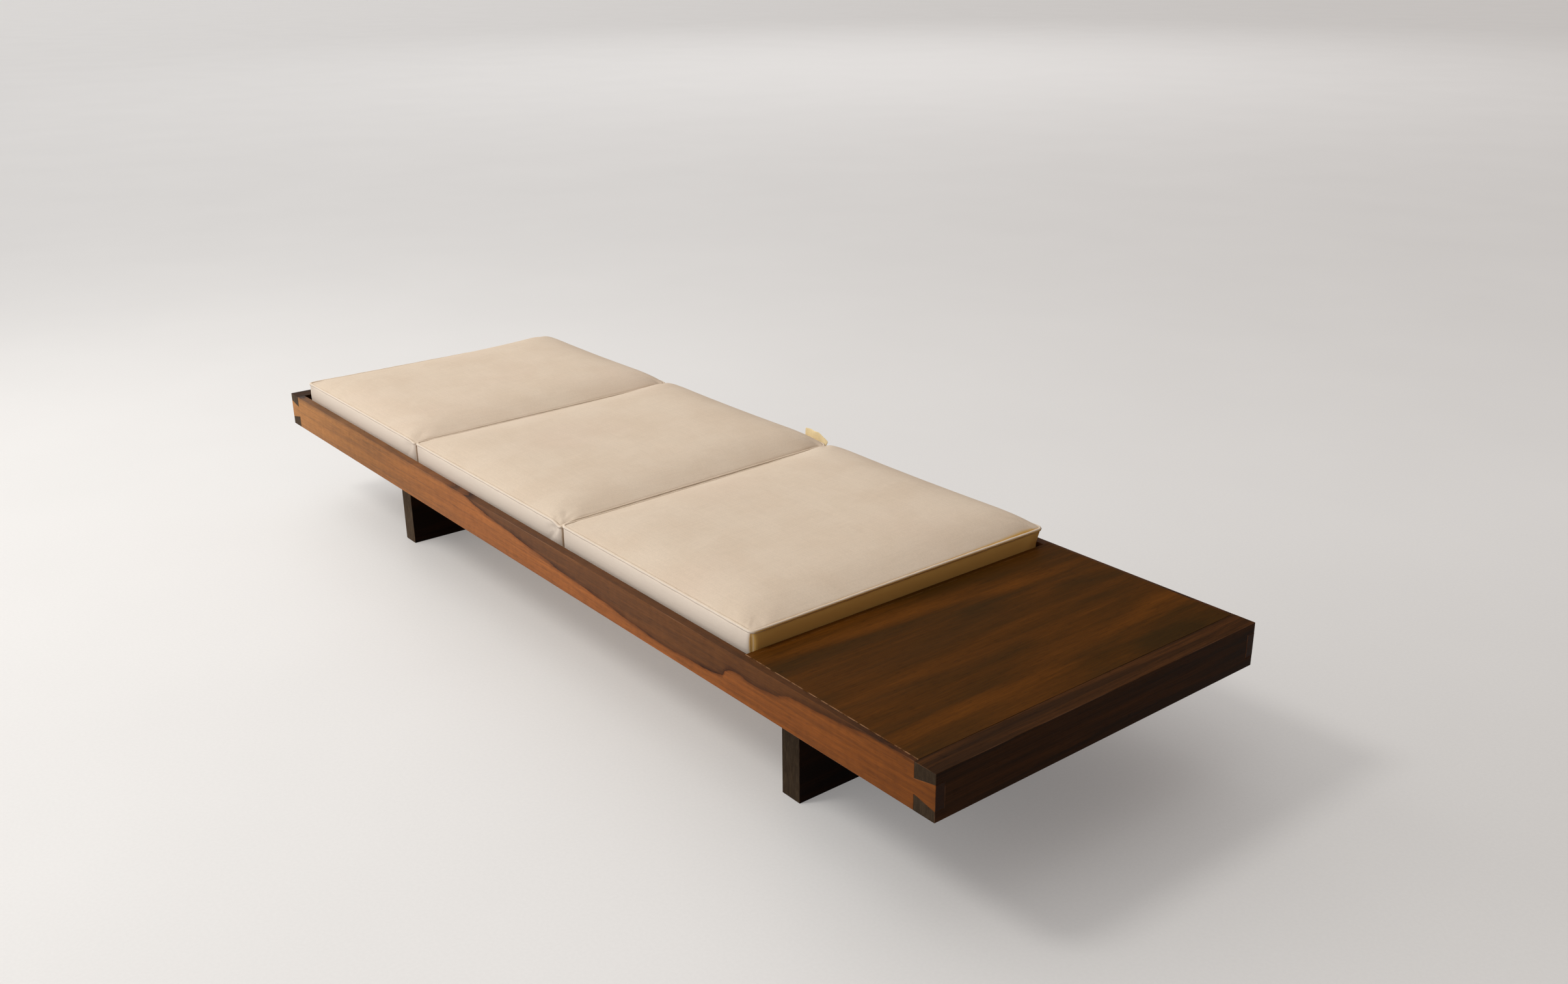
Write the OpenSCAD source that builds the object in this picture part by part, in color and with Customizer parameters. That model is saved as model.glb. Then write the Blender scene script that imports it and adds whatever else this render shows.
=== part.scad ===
// Low daybed bench: a dovetailed hardwood frame on two plank legs, with three loose
// box cushions in a slatted well and a veneered table at one end.
// Origin: on the floor, below the middle of the frame. +Z up, +X towards the table end,
// -Y is the front.

/* [Frame] */
// Overall length of the frame
frame_l = 2600; // [2100:10:3200]
// Overall width of the frame
frame_w = 820; // [680:5:990]
// Height of the frame's top above the floor
top_z = 324; // [270:1:400]
// Height of the four rails
rail_h = 88; // [73:1:110]
// Thickness of the side rails
side_t = 20; // [16:0.5:26]
// Thickness of the end rails
end_t = 48; // [40:1:60]

/* [Corner dovetails] */
// Height of each tail where it leaves the side rail
tail_root_h = 28; // [20:1:34]
// Height of each tail at the outer face of the end rail
tail_tip_h = 48; // [36:1:60]

/* [Legs] */
// Thickness of the leg planks
leg_t = 51; // [40:1:62]
// Distance from each end of the frame to its leg's outer face
leg_end_inset = 457; // [380:1:550]
// Distance from each long side of the frame to the leg's edge
leg_side_inset = 104; // [60:1:125]
// Thickness of the leg's tenons
tenon_t = 25; // [18:1:32]
// Width of the leg's tenons
tenon_w = 90; // [70:1:110]
// Distance from the leg's edge to its tenon
tenon_inset = 50; // [30:1:60]
// Width of a tenon wedge at its thick end
wedge_w = 4; // [3:0.5:6]
// Width of a tenon wedge at its thin end
wedge_tip_w = 1; // [0.5:0.5:2]
// Length of a tenon wedge
wedge_l = 22; // [14:1:28]
// Distance from the tenon's edge to the middle of its wedge
wedge_inset = 18; // [12:1:24]

/* [Bearers and ledgers] */
// Width of the bearer across the frame above each leg
bearer_w = 90; // [70:1:110]
// Depth that bearers and the cross rail are let into the side rails
housing_d = 6; // [4:0.5:8]
// Width of the ledgers and cleats that are screwed to the rails
ledger_w = 20; // [16:1:26]
// Height of the ledgers' undersides above the rails' undersides
ledger_lift = 6; // [0:1:10]

/* [Slatted deck] */
// Depth of the deck's top below the frame's top
well_d = 40; // [30:1:50]
// Number of slats
slat_count = 14; // [10:1:17]
// Width of a slat
slat_w = 95; // [70:1:114]
// Thickness of a slat
slat_t = 18; // [14:1:22]
// Gap between the slats' ends and the side rails
slat_end_gap = 1.5; // [0.5:0.5:4]

/* [Table] */
// Length of the table, from its lipping's free face to the end rail
table_l = 452; // [370:1:550]
// Thickness of the table's core board
core_t = 18; // [14:1:22]
// Thickness of the veneer on each face of the core
veneer_t = 1; // [0.6:0.1:2]
// Width of the solid lipping on the table's free edge
lipping_w = 12; // [8:1:16]
// How far the table stands proud of the rails
table_proud = 0.4; // [0:0.1:1]
// Width of the front rail's lip beside the table, at the lipping
lip_front_well = 16; // [8:0.5:16]
// Width of the front rail's lip beside the table, at the end rail
lip_front_end = 8; // [4:0.5:16]
// Width of the back rail's lip beside the table
lip_back = 8; // [4:0.5:16]
// Thickness of the cross rail under the table's free edge
cross_t = 22; // [16:1:30]
// Height of the cleats under the table
cleat_h = 24; // [18:1:30]

/* [Cushions] */
// Height of a cushion's border, from the deck to the top seam
border_h = 75; // [60:1:90]
// Rise of a cushion's crown above its top seam
crown_h = 22; // [8:1:26]
// Distance from the cushion's edge to the flat of its crown
crown_inset = 60; // [40:5:150]
// Radius of a cushion's upright corners
corner_r = 10; // [8:1:30]
// Gap between neighbouring cushions, and at the ends of the well
cushion_gap = 3; // [1:0.5:8]
// Gap between the cushions and each side rail
cushion_side_gap = 13; // [6:0.5:20]
// How far the first joint lies towards the head from an even split
joint_shift = 12; // [0:1:30]
// How far the first joint leans towards the table at the front, and away from it at the back
joint_slant_1 = 10; // [0:1:20]
// The same lean of the second joint
joint_slant_2 = 17; // [0:1:20]
// Thickness of the cushion covers' cloth
cover_t = 1.5; // [1:0.1:3]
// Length of the zip in the cushion's back border
zip_l = 480; // [350:5:560]
// Width of the zip's teeth
zip_w = 5; // [4:0.5:8]
// Width of the loose flap behind the second cushion
flap_w = 83; // [60:1:100]
// Height of the loose flap behind the second cushion
flap_h = 46; // [30:1:56]
// Height of the loose flap's top above the cushion's top seam
flap_rise = 33; // [20:1:40]
// Thickness of the loose flap, two layers of cloth
flap_t = 3; // [2:0.5:5]

/* [Screws] */
// Diameter of the wood screws' shanks
screw_d = 4; // [3:0.5:5]
// Diameter of the wood screws' heads
screw_head_d = 8; // [6:0.5:9]
// Length of the wood screws
screw_l = 34; // [30:1:36]

/* [Hidden] */
$fn = 32;
eps = 1;                                  // how far a cutter runs past the face it opens
side_in_y = frame_w / 2 - side_t;         // inner face of the side rails
end_in_x = frame_l / 2 - end_t;           // inner face of the end rails
rail_z = top_z - rail_h;                  // underside of the rails
rail_mid_z = rail_z + rail_h / 2;
deck_z = top_z - well_d;                  // top of the slats
ledger_top_z = deck_z - slat_t;           // what the slats rest on
table_x = end_in_x - table_l;             // free face of the table's lipping
table_top_z = top_z + table_proud;
table_t = core_t + 2 * veneer_t;
table_z = table_top_z - table_t;          // underside of the table
well_l = table_x + end_in_x;              // from the head rail to the cross rail
leg_x = frame_l / 2 - leg_end_inset - leg_t / 2;
leg_l = frame_w - 2 * leg_side_inset;
tenon_y = leg_l / 2 - tenon_inset - tenon_w / 2;
slat_pitch = well_l / slat_count;
slat_screw_y = side_in_y - ledger_w / 2;
ledger_screw_z = (ledger_top_z + rail_z + ledger_lift) / 2;
cleat_screw_z = table_z - cleat_h / 2;
cleat_screw_step = 120;                   // between the screws along a cleat
cleat_screw_margin = 40;                  // from a cleat's end to its first screw
cleat_screw_stagger = 25;                 // keeps crossing screws clear of each other
cushion_w = 2 * (side_in_y - cushion_side_gap);
cushion_even_l = (well_l - 4 * cushion_gap) / 3;
head_h = (screw_head_d - screw_d) / 2;
screw_tip_l = 5;
slot_w = 1;
slot_d = 0.8;
slider_l = 9;
slider_t = 2.5;
plate_h = 0.1;                            // thickness of the plates that a crown is hulled from

wood_front = [0.56, 0.30, 0.15];
wood_end = [0.20, 0.12, 0.07];
wood_table = [0.27, 0.16, 0.08];
wood_deck = [0.72, 0.56, 0.38];
cloth = [0.85, 0.78, 0.70];
foam_white = [0.93, 0.91, 0.84];

SIDES = ["front", "back"];
function side_sign(side) = side == "front" ? -1 : 1;
function end_sign(end) = end == "head" ? -1 : 1;
function slat_x(i) = -end_in_x + (i - 0.5) * slat_pitch;
// Lengths of the cushions along their middles, and where each one starts there.
cushion_l = [cushion_even_l - joint_shift, cushion_even_l + joint_shift, cushion_even_l];
function cushion_x(i) = -end_in_x + cushion_gap
    + (i > 1 ? cushion_l[0] + cushion_gap : 0) + (i > 2 ? cushion_l[1] + cushion_gap : 0);
// Lean of the line between each cushion and the next, from the head rail to the cross rail.
joint_slants = [0, joint_slant_1, joint_slant_2, 0];
// X of cushion i's edge at some Y, towards the head (end -1) or towards the table (end 1).
function cushion_edge_x(i, end, y) = cushion_x(i) + (end > 0 ? cushion_l[i - 1] : 0)
    - joint_slants[end > 0 ? i : i - 1] * y / (cushion_w / 2);
// The lip of the front rail narrows evenly towards the end rail.
function lip_front_y(x) = -frame_w / 2 + lip_front_well
    + (lip_front_end - lip_front_well) * (x - table_x) / table_l;
// A ledger screw sits below every second gap between slats, away from the bearers.
ledger_screw_xs = [for (i = [1:2:slat_count - 1])
    let (x = -end_in_x + i * slat_pitch)
    if (abs(abs(x) - leg_x) > bearer_w / 2 + screw_head_d && x < leg_x) x];
cleat_x0 = table_x + cross_t;             // the side cleats run from the cross rail
cleat_x1 = end_in_x - ledger_w;           // to the end cleat
cleat_screw_xs = [cleat_x0 + cleat_screw_margin : cleat_screw_step : cleat_x1 - cleat_screw_margin];
end_cleat_screw_ys = [for (i = [-2:2]) i * (side_in_y - cleat_screw_margin) / 2];

// ---- shared shapes ----

// An outline in the X-Z plane, extruded along Y from y0 to y1.
module xz_plate(y0, y1) {
    translate([0, y1, 0]) rotate([90, 0, 0]) linear_extrude(y1 - y0) children();
}

module block(x0, x1, y0, y1, z0, z1) {
    translate([x0, y0, z0]) cube([x1 - x0, y1 - y0, z1 - z0]);
}

// A countersunk wood screw pointing down from the origin, which is the middle of its head.
module screw_body() {
    rotate_extrude() polygon([
        [0, 0], [screw_head_d / 2, 0], [screw_d / 2, -head_h],
        [screw_d / 2, -screw_l + screw_tip_l], [0, -screw_l]
    ]);
}

module screw() {
    difference() {
        screw_body();
        translate([-screw_head_d, -slot_w / 2, -slot_d]) cube([2 * screw_head_d, slot_w, slot_d + eps]);
    }
}

// Where each group of screws goes: the child is a screw, or the hole that it makes.
module at_ledger_screws(side) {
    s = side_sign(side);
    for (x = ledger_screw_xs)
        translate([x, s * (side_in_y - ledger_w), ledger_screw_z]) rotate([s * 90, 0, 0]) children();
}

module at_slat_screws(i) {
    for (s = [-1, 1])
        translate([slat_x(i), s * slat_screw_y, deck_z]) children();
}

module at_cleat_screws(side) {
    s = side_sign(side);
    for (x = cleat_screw_xs)
        translate([x + cleat_screw_stagger, s * (side_in_y - ledger_w), cleat_screw_z])
            rotate([s * 90, 0, 0]) children();
}

module at_end_cleat_screws() {
    for (y = end_cleat_screw_ys)
        translate([cleat_x1, y + cleat_screw_stagger * (y > 0 ? -1 : 1), cleat_screw_z])
            rotate([0, -90, 0]) children();
}

module at_table_screws(side) {
    for (x = cleat_screw_xs)
        translate([x, side_sign(side) * slat_screw_y, table_z - cleat_h]) rotate([180, 0, 0]) children();
}

module at_end_table_screws() {
    for (y = end_cleat_screw_ys)
        translate([cleat_x1 + ledger_w / 2, y, table_z - cleat_h]) rotate([180, 0, 0]) children();
}

// ---- frame ----

// The four corners of the tail at the table end, as seen from the front.
tail_points = [
    [end_in_x, rail_mid_z - tail_root_h / 2], [frame_l / 2, rail_mid_z - tail_tip_h / 2],
    [frame_l / 2, rail_mid_z + tail_tip_h / 2], [end_in_x, rail_mid_z + tail_root_h / 2]
];
function mirrored(points) = [for (p = points) [-p.x, p.y]];
function reversed(points) = [for (i = [len(points) - 1 : -1 : 0]) points[i]];

// The rail between the end rails, with a tail at each end.
module side_rail_outline() {
    polygon(concat(
        [[-end_in_x, rail_z], [end_in_x, rail_z]], tail_points,
        [[end_in_x, top_z], [-end_in_x, top_z]], reversed(mirrored(tail_points))
    ));
}

module side_rail(side) {
    s = side_sign(side);
    inner = s * side_in_y;
    outer = s * frame_w / 2;
    difference() {
        xz_plate(min(inner, outer), max(inner, outer)) side_rail_outline();
        table_slab(table_x, end_in_x, table_z, table_z + table_t + eps);
        housed_bearer(-leg_x);
        housed_bearer(leg_x);
        housed_cross_rail();
        at_ledger_screws(side) screw_body();
        at_cleat_screws(side) screw_body();
    }
}

module side_rail_front() {
    color(wood_front) side_rail("front");
}

module side_rail_back() {
    color(wood_front) side_rail("back");
}

module end_rail(end) {
    s = end_sign(end);
    difference() {
        block(min(s * end_in_x, s * frame_l / 2), max(s * end_in_x, s * frame_l / 2),
            -frame_w / 2, frame_w / 2, rail_z, top_z);
        for (y = [-frame_w / 2 - eps, side_in_y])
            xz_plate(y, y + side_t + eps) polygon(s > 0 ? tail_points : mirrored(tail_points));
        if (end == "table") at_end_cleat_screws() screw_body();
    }
}

module end_rail_head() {
    color(wood_end) end_rail("head");
}

module end_rail_table() {
    color(wood_end) end_rail("table");
}

module housed_cross_rail() {
    block(table_x, table_x + cross_t, -side_in_y - housing_d, side_in_y + housing_d, ledger_top_z, table_z);
}

module cross_rail() {
    color(wood_end) housed_cross_rail();
}

// ---- legs ----

module housed_bearer(x) {
    block(x - bearer_w / 2, x + bearer_w / 2, -side_in_y - housing_d, side_in_y + housing_d,
        rail_z, ledger_top_z);
}

// A tenon reaches from just inside the leg to z1; with z1 above the bearer it cuts the mortise.
module tenon(x, y, z1 = ledger_top_z) {
    block(x - tenon_t / 2, x + tenon_t / 2, y - tenon_w / 2, y + tenon_w / 2, rail_z - eps, z1);
}

// Two wedges across one tenon, thick end up.
module tenon_wedges(x, y) {
    for (s = [-1, 1])
        translate([x - tenon_t / 2, y + s * (tenon_w / 2 - wedge_inset), ledger_top_z])
            rotate([90, 0, 90]) linear_extrude(tenon_t) polygon([
                [-wedge_w / 2, 0], [-wedge_tip_w / 2, -wedge_l],
                [wedge_tip_w / 2, -wedge_l], [wedge_w / 2, 0]
            ]);
}

module leg(x) {
    difference() {
        union() {
            block(x - leg_t / 2, x + leg_t / 2, -leg_l / 2, leg_l / 2, 0, rail_z);
            for (s = [-1, 1]) tenon(x, s * tenon_y);
        }
        for (s = [-1, 1]) tenon_wedges(x, s * tenon_y);
    }
}

module leg_head() {
    color(wood_end) leg(-leg_x);
}

module leg_table() {
    color(wood_end) leg(leg_x);
}

module leg_bearer(x) {
    difference() {
        housed_bearer(x);
        for (s = [-1, 1]) tenon(x, s * tenon_y, ledger_top_z + eps);
        for (i = [1:slat_count]) at_slat_screws(i) screw_body();
    }
}

module leg_bearer_head() {
    color(wood_deck) leg_bearer(-leg_x);
}

module leg_bearer_table() {
    color(wood_deck) leg_bearer(leg_x);
}

module tenon_wedges_head() {
    color(wood_end) for (s = [-1, 1]) tenon_wedges(-leg_x, s * tenon_y);
}

module tenon_wedges_table() {
    color(wood_end) for (s = [-1, 1]) tenon_wedges(leg_x, s * tenon_y);
}

// ---- slatted deck ----

module ledger(side, x0, x1) {
    s = side_sign(side);
    color(wood_deck) difference() {
        block(x0, x1, min(s * side_in_y, s * (side_in_y - ledger_w)),
            max(s * side_in_y, s * (side_in_y - ledger_w)), rail_z + ledger_lift, ledger_top_z);
        at_ledger_screws(side) screw_body();
        for (i = [1:slat_count]) at_slat_screws(i) screw_body();
    }
}

module ledger_head(side) {
    ledger(side, -end_in_x, -leg_x - bearer_w / 2);
}

module ledger_middle(side) {
    ledger(side, -leg_x + bearer_w / 2, leg_x - bearer_w / 2);
}

module deck_slat(i) {
    color(wood_deck) difference() {
        block(slat_x(i) - slat_w / 2, slat_x(i) + slat_w / 2,
            -side_in_y + slat_end_gap, side_in_y - slat_end_gap, ledger_top_z, deck_z);
        at_slat_screws(i) screw_body();
    }
}

module ledger_screws() {
    color("silver") for (side = SIDES) at_ledger_screws(side) screw();
}

module slat_screws() {
    color("silver") for (i = [1:slat_count]) at_slat_screws(i) screw();
}

// ---- table ----

// A layer of the table between two X positions, shaped to the lips of the side rails.
module table_slab(x0, x1, z0, z1) {
    translate([0, 0, z0]) linear_extrude(z1 - z0) polygon([
        [x0, lip_front_y(x0)], [x1, lip_front_y(x1)],
        [x1, frame_w / 2 - lip_back], [x0, frame_w / 2 - lip_back]
    ]);
}

module table_core() {
    color(wood_deck) difference() {
        table_slab(table_x + lipping_w, end_in_x, table_z + veneer_t, table_top_z - veneer_t);
        for (side = SIDES) at_table_screws(side) screw_body();
        at_end_table_screws() screw_body();
    }
}

module table_veneer() {
    color(wood_table) table_slab(table_x + lipping_w, end_in_x, table_top_z - veneer_t, table_top_z);
}

module table_backing_veneer() {
    color(wood_table) difference() {
        table_slab(table_x + lipping_w, end_in_x, table_z, table_z + veneer_t);
        for (side = SIDES) at_table_screws(side) screw_body();
        at_end_table_screws() screw_body();
    }
}

module table_lipping() {
    color(wood_table) table_slab(table_x, table_x + lipping_w, table_z, table_top_z);
}

module table_cleat(side) {
    s = side_sign(side);
    color(wood_deck) difference() {
        block(cleat_x0, cleat_x1, min(s * side_in_y, s * (side_in_y - ledger_w)),
            max(s * side_in_y, s * (side_in_y - ledger_w)), table_z - cleat_h, table_z);
        at_cleat_screws(side) screw_body();
        at_table_screws(side) screw_body();
    }
}

module table_cleat_front() {
    table_cleat("front");
}

module table_cleat_back() {
    table_cleat("back");
}

module table_cleat_end() {
    color(wood_deck) difference() {
        block(cleat_x1, end_in_x, -side_in_y, side_in_y, table_z - cleat_h, table_z);
        at_end_cleat_screws() screw_body();
        at_end_table_screws() screw_body();
    }
}

module cleat_screws() {
    color("silver") {
        for (side = SIDES) at_cleat_screws(side) screw();
        at_end_cleat_screws() screw();
    }
}

module table_screws() {
    color("silver") {
        for (side = SIDES) at_table_screws(side) screw();
        at_end_table_screws() screw();
    }
}

// ---- cushions ----

// A flat plate of the cushion's outline, pulled in from its edges.
module cushion_plate(i, inset, z, h) {
    r = max(corner_r - inset, 1);
    y = cushion_w / 2 - inset - r;
    for (end = [-1, 1], s = [-1, 1])
        translate([cushion_edge_x(i, end, s * y) - end * (inset + r), s * y, z]) cylinder(r = r, h = h);
}

// The whole cushion, or what is left of it inside a skin.
module cushion_body(i, skin) {
    hull() {
        cushion_plate(i, skin, deck_z + skin, border_h - skin);
        cushion_plate(i, crown_inset, deck_z + border_h + crown_h - skin - plate_h, plate_h);
    }
}

// Middle of a cushion's back edge, where its zip is.
function zip_x(i) = (cushion_edge_x(i, -1, cushion_w / 2) + cushion_edge_x(i, 1, cushion_w / 2)) / 2;

module zip_slot(i, y0, y1) {
    z = deck_z + border_h / 2;
    block(zip_x(i) - zip_l / 2, zip_x(i) + zip_l / 2, y0, y1, z - zip_w / 2, z + zip_w / 2);
}

module cushion_cover(i) {
    color(cloth) difference() {
        cushion_body(i, 0);
        cushion_body(i, cover_t);
        zip_slot(i, cushion_w / 2 - cover_t - eps / 2, cushion_w / 2 + eps);
    }
}

module cushion_foam(i) {
    color(foam_white) cushion_body(i, cover_t);
}

// The closed teeth fill the slot in the cover, and the slider stands on them.
module cushion_zip(i) {
    x = zip_x(i) + zip_l / 2;
    z = deck_z + border_h / 2;
    color("tan") {
        zip_slot(i, cushion_w / 2 - cover_t, cushion_w / 2);
        block(x - 2 * slider_l, x - slider_l, cushion_w / 2, cushion_w / 2 + slider_t,
            z - zip_w / 2, z + zip_w / 2);
    }
}

// A loose flap of cloth that stands up behind the second cushion, at its table end.
module cushion_flap_2() {
    x = cushion_edge_x(2, 1, cushion_w / 2) - corner_r / 2;
    z = deck_z + border_h + flap_rise;
    color(cloth) block(x - flap_w, x, cushion_w / 2, cushion_w / 2 + flap_t, z - flap_h, z);
}

// ---- one line for each node ----

side_rail_front();
side_rail_back();
end_rail_head();
end_rail_table();
cross_rail();
leg_head();
leg_table();
leg_bearer_head();
leg_bearer_table();
tenon_wedges_head();
tenon_wedges_table();
for (side = SIDES) {
    ledger_head(side);
    ledger_middle(side);
}
for (i = [1:slat_count])
    deck_slat(i);
ledger_screws();
slat_screws();
table_core();
table_veneer();
table_backing_veneer();
table_lipping();
table_cleat_front();
table_cleat_back();
table_cleat_end();
cleat_screws();
table_screws();
for (i = [1:3]) {
    cushion_cover(i);
    cushion_foam(i);
    cushion_zip(i);
}
cushion_flap_2();
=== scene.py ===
"""Looks of the daybed: camera, light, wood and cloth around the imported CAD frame."""
import math

import bpy
import numpy as np
from mathutils import Matrix, Vector


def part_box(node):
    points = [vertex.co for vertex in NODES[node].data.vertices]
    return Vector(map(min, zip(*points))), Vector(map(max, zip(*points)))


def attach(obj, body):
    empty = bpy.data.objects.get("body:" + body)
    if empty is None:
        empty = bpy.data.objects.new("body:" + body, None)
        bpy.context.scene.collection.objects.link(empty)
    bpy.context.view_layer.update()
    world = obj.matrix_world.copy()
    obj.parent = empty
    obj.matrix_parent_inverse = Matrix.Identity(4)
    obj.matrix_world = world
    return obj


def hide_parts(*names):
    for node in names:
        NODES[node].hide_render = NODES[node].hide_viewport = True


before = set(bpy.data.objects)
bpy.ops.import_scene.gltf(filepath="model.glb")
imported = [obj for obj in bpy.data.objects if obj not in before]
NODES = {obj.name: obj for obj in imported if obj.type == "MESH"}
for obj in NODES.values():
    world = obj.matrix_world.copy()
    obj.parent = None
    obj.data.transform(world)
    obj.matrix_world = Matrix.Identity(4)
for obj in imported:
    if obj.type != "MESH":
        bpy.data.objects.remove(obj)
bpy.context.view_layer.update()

# ---- places taken from the frame ----

FRAME_HALF_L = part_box("side_rail_front")[1].x
RAIL_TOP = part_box("side_rail_front")[1].z
RAIL_H = RAIL_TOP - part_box("side_rail_front")[0].z
CUSHIONS = (1, 2, 3)

# ---- camera: the daybed seen from above its table end, a little to the front ----

CAM_PLACE = (2.648, -1.772, 1.508)      # metres, in the row frame
CAM_AZIMUTH, CAM_ELEVATION, CAM_ROLL = 51.5, 20.82, -0.54
CAM_LENS, CAM_SENSOR = 33.28, 36.0       # millimetres
CAM_REACH = 200                          # metres that it sees


def make_camera():
    a, e = math.radians(CAM_AZIMUTH), math.radians(CAM_ELEVATION)
    back = Vector((math.sin(a) * math.cos(e), -math.cos(a) * math.cos(e), math.sin(e)))
    right = Vector((0, 0, 1)).cross(back).normalized()
    up = back.cross(right)
    turn = Matrix((right, up, back)).transposed() @ Matrix.Rotation(math.radians(CAM_ROLL), 3, "Z")
    data = bpy.data.cameras.new("camera")
    data.lens, data.sensor_width = CAM_LENS, CAM_SENSOR
    data.clip_end = CAM_REACH
    cam = bpy.data.objects.new("camera", data)
    cam.matrix_world = Matrix.Translation(CAM_PLACE) @ turn.to_4x4()
    bpy.context.scene.collection.objects.link(cam)
    bpy.context.scene.camera = cam


# ---- materials ----

def by_identifier(sockets):
    return {socket.identifier: socket for socket in sockets}


class Tree:
    """A new node material, with short calls for the nodes that its look is made of."""

    def __init__(self, name, roughness=0.6, specular=0.3):
        self.material = bpy.data.materials.new(name)
        self.material.use_nodes = True
        self.nodes = self.material.node_tree.nodes
        self.links = self.material.node_tree.links
        self.bsdf = self.nodes["Principled BSDF"]
        self.bsdf.inputs["Roughness"].default_value = roughness
        self.bsdf.inputs["Specular IOR Level"].default_value = specular
        coordinates = self.nodes.new("ShaderNodeTexCoord")
        self.place, self.normal = coordinates.outputs["Object"], coordinates.outputs["Normal"]

    def put(self, socket, value):
        """Links the socket to another, or sets it to a number or colour."""
        if isinstance(value, bpy.types.NodeSocket):
            self.links.new(value, socket)
        elif isinstance(value, (tuple, list)) and len(value) == 3 and socket.type == "RGBA":
            socket.default_value = (*value, 1)
        else:
            socket.default_value = value

    def math(self, operation, *values):
        node = self.nodes.new("ShaderNodeMath")
        node.operation = operation
        for socket, value in zip(node.inputs, values):
            self.put(socket, value)
        return node.outputs[0]

    def total(self, *values):
        result = values[0]
        for value in values[1:]:
            result = self.math("ADD", result, value)
        return result

    def axes(self, vector):
        node = self.nodes.new("ShaderNodeSeparateXYZ")
        self.links.new(vector, node.inputs[0])
        return node.outputs

    def stretched(self, factors):
        """The place on the object, with each axis multiplied by its own factor."""
        node = self.nodes.new("ShaderNodeVectorMath")
        node.operation = "MULTIPLY"
        self.links.new(self.place, node.inputs[0])
        node.inputs[1].default_value = factors
        return node.outputs[0]

    def noise(self, factors, detail=3.0, roughness=0.5, distortion=0.0):
        """Noise from 0 to 1 whose spots per metre along X, Y and Z are the factors."""
        node = self.nodes.new("ShaderNodeTexNoise")
        self.links.new(self.stretched(factors), node.inputs["Vector"])
        node.inputs["Scale"].default_value = 1.0
        node.inputs["Detail"].default_value = detail
        node.inputs["Roughness"].default_value = roughness
        node.inputs["Distortion"].default_value = distortion
        return node.outputs["Fac"]

    def remap(self, value, low, high, to_low=0.0, to_high=1.0, smooth=True):
        """The value, with low to high spread over to_low to to_high, and held at those ends."""
        node = self.nodes.new("ShaderNodeMapRange")
        node.interpolation_type = "SMOOTHSTEP" if smooth else "LINEAR"
        for key, number in zip(("Value", "From Min", "From Max", "To Min", "To Max"),
                               (value, low, high, to_low, to_high)):
            self.put(node.inputs[key], number)
        return node.outputs["Result"]

    def ramp(self, value, *stops):
        """Colours at places from 0 to 1: each stop is (place, colour)."""
        node = self.nodes.new("ShaderNodeValToRGB")
        elements = node.color_ramp.elements
        while len(elements) < len(stops):
            elements.new(0.5)
        for element, (at, colour) in zip(elements, stops):
            element.position, element.color = at, (*colour, 1)
        self.put(node.inputs["Fac"], value)
        return node.outputs["Color"]

    def mix(self, factor, a, b, blend="MIX"):
        node = self.nodes.new("ShaderNodeMix")
        node.data_type, node.blend_type = "RGBA", blend
        sockets = by_identifier(node.inputs)
        for key, value in (("Factor_Float", factor), ("A_Color", a), ("B_Color", b)):
            self.put(sockets[key], value)
        return by_identifier(node.outputs)["Result_Color"]

    def shade(self, colour, value):
        """The colour times a number that varies over the surface."""
        node = self.nodes.new("ShaderNodeVectorMath")
        node.operation = "SCALE"
        self.put(node.inputs[0], colour)
        self.put(node.inputs["Scale"], value)
        return node.outputs[0]

    def bump(self, height, distance, strength, under=None):
        """A normal from the height, on top of the normal that lies under it."""
        node = self.nodes.new("ShaderNodeBump")
        node.inputs["Distance"].default_value = distance
        node.inputs["Strength"].default_value = strength
        self.put(node.inputs["Height"], height)
        if under:
            self.links.new(under, node.inputs["Normal"])
        return node.outputs["Normal"]

    def worn_arris(self):
        """1 on the rounded edges between two faces, and 0 on the faces."""
        x, y, z = (self.math("ABSOLUTE", n) for n in self.axes(self.normal))
        products = [self.math("MULTIPLY", a, b) for a, b in ((x, y), (y, z), (x, z))]
        return self.remap(self.total(*products), 0.22, 0.42)

    def finish(self, colour, normal=None, roughness=None):
        self.put(self.bsdf.inputs["Base Color"], colour)
        if normal:
            self.links.new(normal, self.bsdf.inputs["Normal"])
        if roughness:
            self.links.new(roughness, self.bsdf.inputs["Roughness"])
        return self.material


PORE_DARK = 0.55                         # a pore's shade, as a share of the wood around it
FINE_BUMP, VENEER_BUMP = 0.00018, 0.00014        # metres that streaks stand proud
WORN_RAIL, WORN_END, WORN_VENEER = (0.34, 0.18, 0.10), (0.15, 0.075, 0.042), (0.30, 0.155, 0.075)


def along(axis, lengthwise, across):
    """Noise factors for grain that runs along an axis."""
    factors = [across] * 3
    factors["XYZ".index(axis)] = lengthwise
    return tuple(factors)


def wood_pores(t, axis):
    """Short dark pores along the grain, from 0 to 1."""
    return t.remap(t.noise(along(axis, 45, 1400), 2.0), 0.58, 0.7)


def grain_height(t, streaks, pores):
    return t.total(t.math("MULTIPLY", streaks, 0.6), t.math("MULTIPLY", pores, -0.8))


# The growth line on the front rail, from the head end: (metres along, share of the rail's height
# below its top). Above it is dark heartwood and below it is light wood.
GROWTH_LINE = ((0.0, 0.0), (1.03, 0.0), (1.11, 0.13), (1.21, 0.24), (1.33, 0.34), (1.46, 0.49),
               (1.62, 0.60), (1.79, 0.75), (1.88, 0.79), (1.98, 0.74), (2.05, 0.64), (2.09, 0.38),
               (2.14, 0.42), (2.25, 0.22), (2.41, 0.08), (2.47, 0.0), (2.60, 0.0))


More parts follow.
